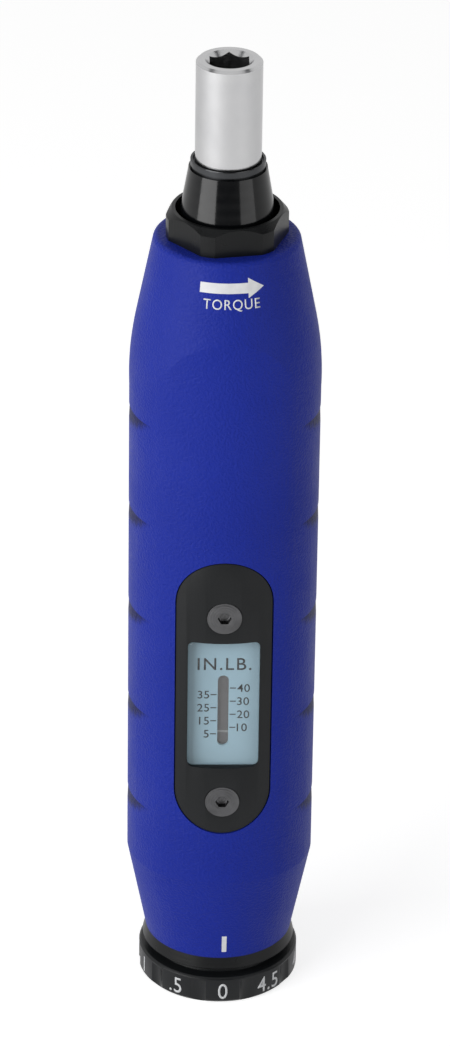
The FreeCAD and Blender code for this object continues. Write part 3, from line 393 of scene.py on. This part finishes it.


# %% [markdown]
# The grip is blue plastic from a textured mould: pebbles about half a millimetre across that break
# the highlight up into a soft sheen. The shallow notches at its sides get painted shade: a deeper
# blue laid into their colour, which stands in for the shade that falls on their sloped faces.

# %% Grip finish
# the grip's side curve, and the rows of notches in it
SIDE_RADIUS = 15.37 * MM
SIDE_CENTRE = 0.65 * MM
SIDE_EDGE = 10.9 * MM
NOTCH_TOP = 110.4 * MM
NOTCH_PITCH = 18.35 * MM
NOTCH_HEIGHT = 3.3 * MM
LAST_NOTCH = 4.3 * NOTCH_PITCH
# painted shade: the darker blue that stands in for the shade on the notches' slopes
NOTCH_SHADE_BLUE = (0.001, 0.004, 0.075, 1)


def notch_group():
    """How deep a point of a notch lies inside the grip's side curve, from 0 to 1; the mask of the notches'
    painted shade.
    """
    group, inlet, outlet = new_group("notch_depth", [("Low", 0.035), ("High", 0.12)], ["Depth"])
    place = group.nodes.new("ShaderNodeTexCoord")
    split = group.nodes.new("ShaderNodeSeparateXYZ")
    link(group, place.outputs["Object"], split.inputs[0])
    across = math_node(group, "ABSOLUTE", split.outputs["X"])
    out = math_node(group, "SUBTRACT", across, SIDE_CENTRE)
    forward = math_node(group, "POWER", split.outputs["Y"], 2.0)
    squares = math_node(group, "MULTIPLY_ADD", out, out, forward)
    inside = math_node(group, "SUBTRACT", SIDE_RADIUS, math_node(group, "SQRT", squares))
    sunk = group.nodes.new("ShaderNodeMapRange")
    sunk.interpolation_type = "SMOOTHSTEP"
    link(group, math_node(group, "DIVIDE", inside, MM), sunk.inputs["Value"])
    link(group, inlet.outputs["Low"], sunk.inputs["From Min"])
    link(group, inlet.outputs["High"], sunk.inputs["From Max"])
    # only near the sides, and only in the height of each notch
    side = math_node(group, "GREATER_THAN", across, SIDE_EDGE)
    below = math_node(group, "SUBTRACT", NOTCH_TOP, split.outputs["Z"])
    row = math_node(group, "MODULO", below, NOTCH_PITCH)
    tall = math_node(group, "LESS_THAN", row, NOTCH_HEIGHT)
    rows = math_node(group, "MULTIPLY", math_node(group, "GREATER_THAN", below, 0.0),
                     math_node(group, "LESS_THAN", below, LAST_NOTCH))
    window = math_node(group, "MULTIPLY", math_node(group, "MULTIPLY", side, tall), rows)
    depth = math_node(group, "MULTIPLY", sunk.outputs["Result"], window)
    link(group, depth, outlet.inputs["Depth"])
    return group


def shade_notches(material):
    """Lay the notches' painted shade, a deeper blue, over a finish's colour."""
    tree = material.node_tree
    shader = next(node for node in tree.nodes if node.type == "BSDF_PRINCIPLED")
    blue = shader.inputs["Base Color"].links[0].from_socket
    deep = tree.nodes.new("ShaderNodeMix")
    deep.data_type = "RGBA"
    deep.inputs["B"].default_value = NOTCH_SHADE_BLUE
    link(tree, blue, deep.inputs["A"])
    link(tree, use_group(tree, notch_group()).outputs["Depth"], deep.inputs["Factor"])
    link(tree, deep.outputs["Result"], shader.inputs["Base Color"])


grip_blue = finish("grip_blue", (0.009, 0.023, 0.29), (0.011, 0.027, 0.32), rough=(0.42, 0.5),
                   cloud=45, relief=(GRAIN, {"Scale": 2300.0}), depth=0.00006,
                   Specular_IOR_Level=0.16)
# painted shade laid into the notches
shade_notches(grip_blue)
dress("handle_body", grip_blue)

# %% [markdown]
# Solids have dead sharp edges, and a moulded or polished edge catches a line of light. The window
# frame, the window, its screws and the dial get a copy of their solid: its loose triangles are
# merged, coplanar ones become one face, a small bevel rounds each sharp edge, and faces that meet at
# a shallow angle are shaded as one smooth surface. The solid's dial has a flute in front, so its copy
# is turned to bring a land under each figure.

# %% Rounded copies of the solids
SHARP = math.radians(28)
DIAL_STEPS = 10
DIAL_STEP = 360 / DIAL_STEPS
DIAL_TURN = 2.5


def only(piece):
    """Select one piece and nothing else."""
    bpy.ops.object.select_all(action="DESELECT")
    bpy.context.view_layer.objects.active = piece
    piece.select_set(True)


def soften(name, width, body, segments=2):
    """A copy of a solid with rounded edges, which stands for it; width is in millimetres."""
    copy = bpy.data.objects.new(f"{name}_finished", nodes[name].data.copy())
    scene.collection.objects.link(copy)
    only(copy)
    bpy.ops.object.mode_set(mode="EDIT")
    bpy.ops.mesh.select_all(action="SELECT")
    bpy.ops.mesh.customdata_custom_splitnormals_clear()
    bpy.ops.mesh.remove_doubles(threshold=MM / 500)
    bpy.ops.mesh.dissolve_limited(angle_limit=math.radians(0.5))
    bpy.ops.object.mode_set(mode="OBJECT")
    bevel = copy.modifiers.new("edges", "BEVEL")
    bevel.width = width * MM
    bevel.segments = segments
    bevel.limit_method = "ANGLE"
    bevel.angle_limit = SHARP
    bevel.harden_normals = False
    bpy.ops.object.modifier_apply(modifier=bevel.name)
    bpy.ops.object.shade_smooth_by_angle(angle=SHARP)
    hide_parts(name)
    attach(copy, body)
    print(copy.name, "faces:", len(copy.data.polygons))
    return copy


def turn_about_axis(piece, degrees):
    piece.data.transform(Matrix.Rotation(math.radians(degrees), 4, "Z"))


# %% [markdown]
# The black parts differ in gloss. The window frame and the dial are satin mouldings, the collar and
# the nut are blackened metal, and the nose cone is polished.

# %% Black finishes
satin_black = finish("satin_black", (0.0075, 0.0085, 0.0095), (0.0095, 0.0105, 0.0115),
                     rough=(0.42, 0.5), cloud=90, relief=(GRAIN, {"Scale": 3200.0}),
                     depth=0.000006, Specular_IOR_Level=0.25)
dial_black = finish("dial_black", (0.006, 0.007, 0.008), (0.008, 0.009, 0.01), rough=(0.3, 0.38),
                    cloud=120, relief=(GRAIN, {"Scale": 3600.0}), depth=0.000005,
                    Specular_IOR_Level=0.3)
metal_black = finish("metal_black", (0.005, 0.0055, 0.006), (0.007, 0.0075, 0.008),
                     rough=(0.26, 0.34), cloud=150, relief=(LATHE, {"Rings per mm": 5.0}), depth=0.000002,
                     Specular_IOR_Level=0.22)
gloss_black = finish("gloss_black", (0.002, 0.0024, 0.003), (0.003, 0.0034, 0.004),
                     rough=(0.1, 0.14), cloud=150, relief=(LATHE, {"Rings per mm": 3.0}), depth=0.000001,
                    Specular_IOR_Level=0.35)
dress(soften("window_bezel", 0.14, "handle"), satin_black)
knob = soften("adjusting_knob", 0.1, "knob")
turn_about_axis(knob, DIAL_STEP / 2 + DIAL_TURN)
dress(knob, dial_black)
dress("rear_collar", metal_black)
dress("nose_nut", metal_black)
dress("nose_cone", gloss_black)

# %% [markdown]
# The bare metals are turned, plated or drawn. Rings run round the turned ones, and the bit holder has
# faint streaks along its length under the plating.

# %% Metal finishes
chrome = finish("satin_chrome", (0.57, 0.57, 0.58), (0.62, 0.62, 0.625), rough=(0.17, 0.24), cloud=200,
                relief=(BRUSHING, {"Scale": 1600.0}), depth=0.000003, Metallic=1.0)
ring_grey = finish("ring_grey", (0.06, 0.062, 0.066), (0.075, 0.077, 0.08), rough=(0.3, 0.4), cloud=300,
                   relief=(LATHE, {"Rings per mm": 8.0}), depth=0.000002, Metallic=1.0)
turned_steel = finish("turned_steel", (0.42, 0.42, 0.43), (0.5, 0.5, 0.51), rough=(0.25, 0.35), cloud=120,
                      relief=(LATHE, {"Rings per mm": 4.0}), depth=0.000003, Metallic=1.0)
polished_steel = finish("polished_steel", (0.62, 0.62, 0.63), (0.68, 0.68, 0.69), rough=(0.08, 0.14),
                        cloud=300, Metallic=1.0)
oiled_steel = finish("oiled_steel", (0.12, 0.12, 0.125), (0.17, 0.165, 0.16), rough=(0.25, 0.4), cloud=150,
                     relief=(GRAIN, {"Scale": 5000.0}), depth=0.000002, Metallic=1.0)
brass = finish("turned_brass", (0.52, 0.36, 0.12), (0.6, 0.43, 0.17), rough=(0.22, 0.35), cloud=120,
               relief=(LATHE, {"Rings per mm": 4.0}), depth=0.000003, Metallic=1.0)
magnet = finish("plated_magnet", (0.3, 0.3, 0.31), (0.36, 0.36, 0.37), rough=(0.3, 0.45), cloud=400,
                Metallic=1.0)
dark_screw = finish("dark_screw", (0.1, 0.1, 0.103), (0.135, 0.135, 0.14), rough=(0.3, 0.42), cloud=500,
                    relief=(FACING, {"Rings per mm": 2.2, "Middle": 0.0591, "Half": 0.0178}),
                    depth=0.00001, Metallic=1.0)
dress("bit_holder", chrome)
dress("holder_ring", ring_grey)
dress(soften("bezel_screws", 0.07, "handle"), dark_screw)
for name, material in (("lead_screw", turned_steel),
                       ("output_shaft", turned_steel), ("clutch_plunger", turned_steel),
                       ("clutch_balls", polished_steel), ("thrust_race", polished_steel),
                       ("thrust_bearing", polished_steel), ("click_plunger", polished_steel),
                       ("main_spring", oiled_steel), ("spring_nut", brass), ("front_bush", brass),
                       ("thrust_washer", brass), ("bit_magnet", magnet), ("knob_screw", dark_screw)):
    dress(name, material)

# %% [markdown]
# Behind the window are a plate painted pale blue grey and, in its slot, the brown-grey indicator strip.
# The window itself is clear plastic with a polished edge.

# %% Window finishes
scale_paint = finish("scale_paint", (0.36, 0.52, 0.61), (0.38, 0.545, 0.635), rough=(0.5, 0.6), cloud=80,
                     relief=(GRAIN, {"Scale": 4000.0}), depth=0.000004)
strip_grey = finish("strip_grey", (0.15, 0.135, 0.135), (0.175, 0.16, 0.158), rough=(0.4, 0.5), cloud=300,
                    relief=(BRUSHING, {"Scale": 2500.0}), depth=0.000004)
clear = finish("clear_window", (0.93, 0.96, 0.97), (0.95, 0.975, 0.985), rough=(0.01, 0.03), cloud=200,
               Transmission_Weight=1.0, IOR=1.45)
dress("scale_plate", scale_paint)
dress("indicator_strip", strip_grey)
window = soften("window_lens", 0.22, "handle", segments=3)
dress(window, clear)
window.visible_shadow = False
window.visible_diffuse = False

# %% [markdown]
# Print and filled figures are thin letters laid on the surface they belong to. Each is typed flat, made a
# mesh, cut into narrow strips so that it can bend, and then every point is dropped on to the solid along
# a line towards the axis. That way the letters follow whatever curve the solid has there.

# %% Lettering helpers
SKIN = 0.00002
OUTSIDE = 50 * MM
printed_white = finish("printed_white", (0.72, 0.73, 0.75), (0.8, 0.81, 0.82), rough=(0.4, 0.5), cloud=900,
                       relief=(GRAIN, {"Scale": 6000.0}), depth=0.000004)
printed_grey = finish("printed_grey", (0.035, 0.036, 0.038), (0.05, 0.052, 0.055), rough=(0.5, 0.6), cloud=900)
figure_white = finish("figure_white", (0.62, 0.63, 0.64), (0.7, 0.71, 0.72), rough=(0.4, 0.5), cloud=900)


def surface_of(piece):
    """A search tree over a piece's faces, for dropping points on it."""
    mesh = piece.data
    return BVHTree.FromPolygons([vertex.co for vertex in mesh.vertices],
                                [face.vertices for face in mesh.polygons])


def flat_text(words, height, spacing=1.0, weight=0.0, width=None):
    """Flat letters of a given height, and width if one is given, centred on the origin."""
    bpy.ops.object.select_all(action="DESELECT")
    bpy.ops.object.text_add()
    text = bpy.context.object
    text.data.body = words
    text.data.align_x = "CENTER"
    text.data.align_y = "CENTER"
    text.data.space_character = spacing
    text.data.offset = weight
    text.data.resolution_u = 6
    text.data.extrude = 0.0
    text.data.size = 1.0
    bpy.ops.object.convert(target="MESH")
    piece = bpy.context.object
    low, high = extent(piece)
    scale = height / (high.y - low.y)
    middle = (low + high) / 2
    wide = width / (high.x - low.x) if width else scale
    piece.data.transform(Matrix.Diagonal((wide, scale, 1, 1)) @ Matrix.Translation(-middle))
    return piece


def extent(piece):
    points = [vertex.co for vertex in piece.data.vertices]
    low = Vector([min(point[axis] for point in points) for axis in range(3)])
    high = Vector([max(point[axis] for point in points) for axis in range(3)])
    return low, high


def slice_up(piece, step):
    """Cut a flat piece into strips so that it can bend."""
    low, high = extent(piece)
    only(piece)
    bpy.ops.object.mode_set(mode="EDIT")
    for axis in (0, 1):
        normal = [0, 0, 0]
        normal[axis] = 1
        count = int((high[axis] - low[axis]) / step)
        for index in range(1, count + 1):
            spot = [0, 0, 0]
            spot[axis] = low[axis] + (high[axis] - low[axis]) * index / (count + 1)
            bpy.ops.mesh.select_all(action="SELECT")
            bpy.ops.mesh.bisect(plane_co=spot, plane_no=normal)
    bpy.ops.object.mode_set(mode="OBJECT")


def thicken(piece, depth=SKIN):
    """Turn a flat sheet into a thin closed solid."""
    solid = piece.modifiers.new("thickness", "SOLIDIFY")
    solid.thickness = depth
    solid.offset = 0
    bpy.ops.object.modifier_apply(modifier=solid.name)


def wrap_round(piece, tree, azimuth, level, radius, proud=SKIN):
    """Bend a flat piece round the axis on to a solid: its X runs round the tool and its Y up it."""
    for vertex in piece.data.vertices:
        angle = math.radians(azimuth) + vertex.co.x / radius
        away = Vector((math.sin(angle), -math.cos(angle), 0))
        height = level + vertex.co.y
        start = away * OUTSIDE + Vector((0, 0, height))
        hit, normal, _, _ = tree.ray_cast(start, -away)
        vertex.co = hit + normal * (proud + vertex.co.z)


def lay_flat(piece, x, level, depth, proud=SKIN):
    """Stand a flat piece on a plane that faces forward."""
    for vertex in piece.data.vertices:
        vertex.co = Vector((x + vertex.co.x, -depth - proud - vertex.co.z, level + vertex.co.y))


def join(pieces, name):
    """Make one mesh of several pieces, with its origin at the frame's."""
    bpy.ops.object.select_all(action="DESELECT")
    for piece in pieces:
        piece.select_set(True)
    bpy.context.view_layer.objects.active = pieces[0]
    if len(pieces) > 1:
        bpy.ops.object.join()
    joined = bpy.context.object
    joined.name = name
    joined.data.name = name
    return joined


# %% [markdown]
# The dial reads from 0 to 4.5 in ten steps, one figure on each land. The figures stand upright as the
# tool does, and the next higher one is to the left, so that a clockwise turn, seen from below, raises it.

# %% Dial figures
FIGURE_HEIGHT = 3.05 * MM
FIGURE_WIDTH_SHARE = 0.86
FIGURE_LEVEL = 2.45 * MM
dial_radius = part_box("adjusting_knob")[1].x
dial_surface = surface_of(knob)


def make_dial_figures():
    figures = []
    for step in range(DIAL_STEPS):
        words = f"{step * 0.5:g}".replace("0.5", ".5")
        figure = flat_text(words, FIGURE_HEIGHT, spacing=1.06, weight=0.002)
        figure.data.transform(Matrix.Diagonal((FIGURE_WIDTH_SHARE, 1, 1, 1)))
        slice_up(figure, 0.5 * MM)
        thicken(figure)
        wrap_round(figure, dial_surface, DIAL_TURN - DIAL_STEP * step, FIGURE_LEVEL, dial_radius)
        figures.append(figure)
    return join(figures, "dial_figures")


dial_figures = make_dial_figures()
dress(dial_figures, figure_white)
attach(dial_figures, "knob")
print("dial figures:", len(dial_figures.data.polygons), "faces")

# %% [markdown]
# The grip carries three white prints: an index line just above the dial, an arrow near the top that
# shows the working direction, and the word under it.

# %% Grip prints
grip_surface = surface_of(nodes["handle_body"])


def make_bar(width, height):
    bpy.ops.object.select_all(action="DESELECT")
    bpy.ops.mesh.primitive_plane_add(size=1)
    bar = bpy.context.object
    bar.data.transform(Matrix.Diagonal((width, height, 1, 1)))
    return bar


def make_arrow(length, shaft, head_length, head_height):
    """A bar with a triangular head, pointing to +X, centred on the origin."""
    bar = make_bar(length - head_length, shaft)
    bar.data.transform(Matrix.Translation((-head_length / 2, 0, 0)))
    bpy.ops.object.select_all(action="DESELECT")
    bpy.ops.mesh.primitive_plane_add(size=1)
    head = bpy.context.object
    head.data.transform(Matrix.Diagonal((head_length, head_height, 1, 1)))
    head.data.transform(Matrix.Translation(((length - head_length) / 2, 0, 0)))
    tip = max(vertex.co.x for vertex in head.data.vertices)
    for vertex in head.data.vertices:
        if vertex.co.x > tip - MM / 10:
            vertex.co.y = 0
    arrow = join([bar, head], "arrow")
    bpy.ops.object.mode_set(mode="EDIT")
    bpy.ops.mesh.select_all(action="SELECT")
    bpy.ops.mesh.remove_doubles(threshold=MM / 1000)
    bpy.ops.object.mode_set(mode="OBJECT")
    return arrow


def print_on_grip(piece, name, azimuth, level, radius):
    slice_up(piece, 0.6 * MM)
    thicken(piece)
    wrap_round(piece, grip_surface, azimuth, level, radius)
    piece.name = name
    piece.data.name = name
    dress(piece, printed_white)
    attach(piece, "handle")
    print(name, "faces:", len(piece.data.polygons))


print_on_grip(make_bar(0.85 * MM, 3.4 * MM), "index_mark",
              azimuth=3.2, level=11.7 * MM, radius=13.5 * MM)
print_on_grip(make_arrow(10.6 * MM, 1.7 * MM, 2.7 * MM, 3.35 * MM), "direction_arrow",
              azimuth=2.6, level=137.0 * MM, radius=12.8 * MM)
print_on_grip(flat_text("TORQUE", 2.0 * MM, spacing=1.12, weight=0.003, width=9.35 * MM),
              "direction_word", azimuth=2.2, level=134.2 * MM, radius=13.3 * MM)

# %% [markdown]
# The scale is printed on the plate. Its figures climb by fives, from 5 at the foot of the slot. Tens
# are on the slot's right and the fives between on its left, each with a short tick. One step of five
# is one turn of the dial.

# %% Scale print
PLATE_FRONT = -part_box("scale_plate")[0].y
SCALE_ZERO = 52.27 * MM
STEP_HEIGHT = 1.27 * MM
SCALE_STEPS = 8
TICK_PLACE = 1.62 * MM
FIGURE_PLACE = 2.35 * MM
UNIT_LEVEL = 67.05 * MM


def make_scale_print():
    marks = []
    unit = flat_text("IN.LB.", 2.3 * MM, spacing=1.16, weight=0.004, width=9.0 * MM)
    thicken(unit)
    lay_flat(unit, 0.15 * MM, UNIT_LEVEL, PLATE_FRONT)
    marks.append(unit)
    for step in range(1, SCALE_STEPS + 1):
        side = 1 if step % 2 == 0 else -1
        level = SCALE_ZERO + STEP_HEIGHT * step
        tick = make_bar(1.0 * MM, 0.2 * MM)
        thicken(tick)
        lay_flat(tick, side * TICK_PLACE, level, PLATE_FRONT)
        figure = flat_text(str(step * 5), 1.5 * MM, spacing=1.05, weight=0.002)
        low, high = extent(figure)
        thicken(figure)
        middle = FIGURE_PLACE + (high.x - low.x) / 2
        lay_flat(figure, side * middle, level, PLATE_FRONT)
        marks.extend((tick, figure))
    return join(marks, "scale_print")


scale_print = make_scale_print()
dress(scale_print, printed_grey)
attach(scale_print, "handle")

# %% [markdown]
# A pale line is let into the strip behind the slot. It moves up the scale with the spring nut.

# %% Reading line
LINE_LEVEL = 53.55 * MM
strip_low, strip_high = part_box("indicator_strip")
pale_line = finish("pale_line", (0.33, 0.32, 0.31), (0.4, 0.39, 0.38), rough=(0.4, 0.5), cloud=900)


def make_reading_line():
    line = make_bar(strip_high.x - strip_low.x - 0.1 * MM, 0.42 * MM)
    thicken(line, 0.08 * MM)
    lay_flat(line, 0, LINE_LEVEL, -strip_low.y, -0.06 * MM)
    line.name = "reading_line"
    line.data.name = "reading_line"
    dress(line, pale_line)
    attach(line, "nut")


make_reading_line()
print("reading line laid")
